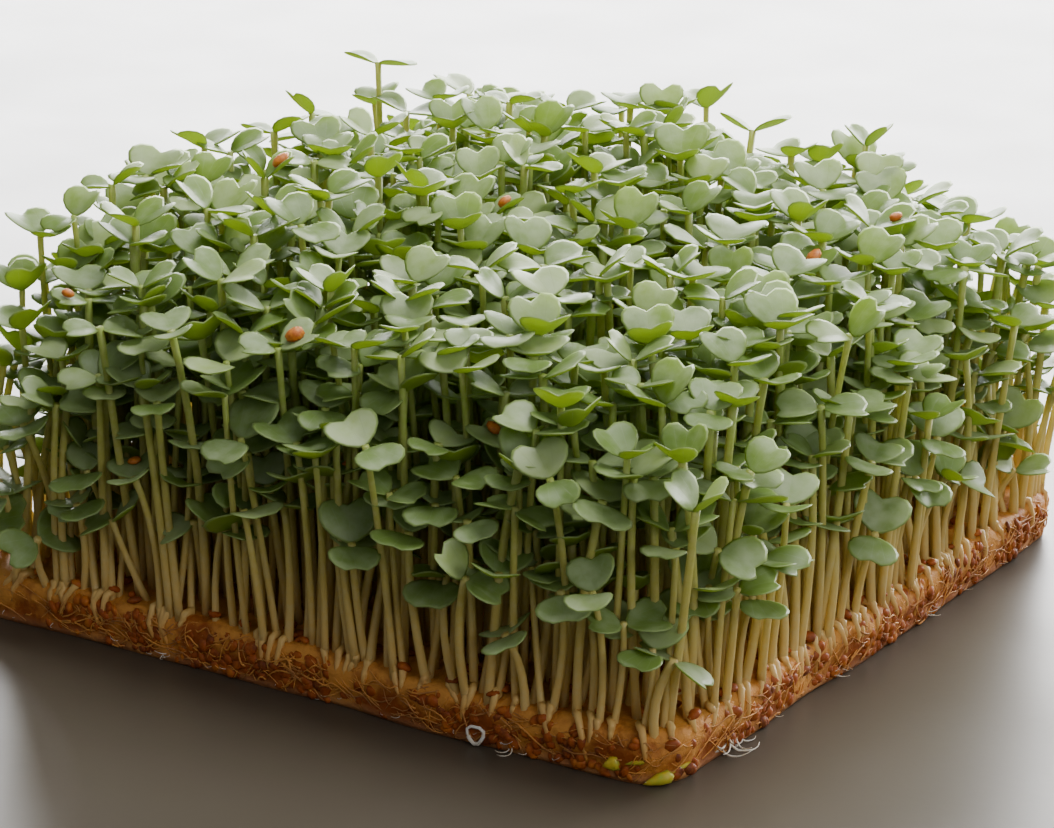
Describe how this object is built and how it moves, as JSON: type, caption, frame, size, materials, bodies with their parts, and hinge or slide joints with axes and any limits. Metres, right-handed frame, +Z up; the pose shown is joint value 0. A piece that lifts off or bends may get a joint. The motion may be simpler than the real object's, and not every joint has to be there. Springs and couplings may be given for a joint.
{
  "type": "microgreens mat",
  "caption": "Square mat of salad microgreens turned out of its tray: notched seed leaves on pale upright stems, standing on a thin mat of matted roots and seed hulls.",
  "frame": {"origin": "middle of the flat underside of the root mat", "axes": "+Z up, along the stems; X and Y along the sides of the square mat"},
  "size_m": [0.1425, 0.1431, 0.0708],
  "materials": {
    "root_mat": null,
    "seedlings": null
  },
  "bodies": {
    "root": {"root_mat": "root_mat", "seedling_tuft_01": "seedlings", "seedling_tuft_02": "seedlings", "seedling_tuft_03": "seedlings", "seedling_tuft_04": "seedlings", "seedling_tuft_05": "seedlings", "seedling_tuft_06": "seedlings", "seedling_tuft_07": "seedlings", "seedling_tuft_08": "seedlings", "seedling_tuft_09": "seedlings", "seedling_tuft_10": "seedlings", "seedling_tuft_11": "seedlings", "seedling_tuft_12": "seedlings", "seedling_tuft_13": "seedlings", "seedling_tuft_14": "seedlings", "seedling_tuft_15": "seedlings", "seedling_tuft_16": "seedlings", "seedling_tuft_17": "seedlings", "seedling_tuft_18": "seedlings", "seedling_tuft_19": "seedlings", "seedling_tuft_20": "seedlings", "seedling_tuft_21": "seedlings", "seedling_tuft_22": "seedlings", "seedling_tuft_23": "seedlings", "seedling_tuft_24": "seedlings", "seedling_tuft_25": "seedlings", "seedling_tuft_26": "seedlings", "seedling_tuft_27": "seedlings", "seedling_tuft_28": "seedlings", "seedling_tuft_29": "seedlings", "seedling_tuft_30": "seedlings", "seedling_tuft_31": "seedlings", "seedling_tuft_32": "seedlings", "seedling_tuft_33": "seedlings", "seedling_tuft_34": "seedlings", "seedling_tuft_35": "seedlings", "seedling_tuft_36": "seedlings"}
  },
  "joints": []
}
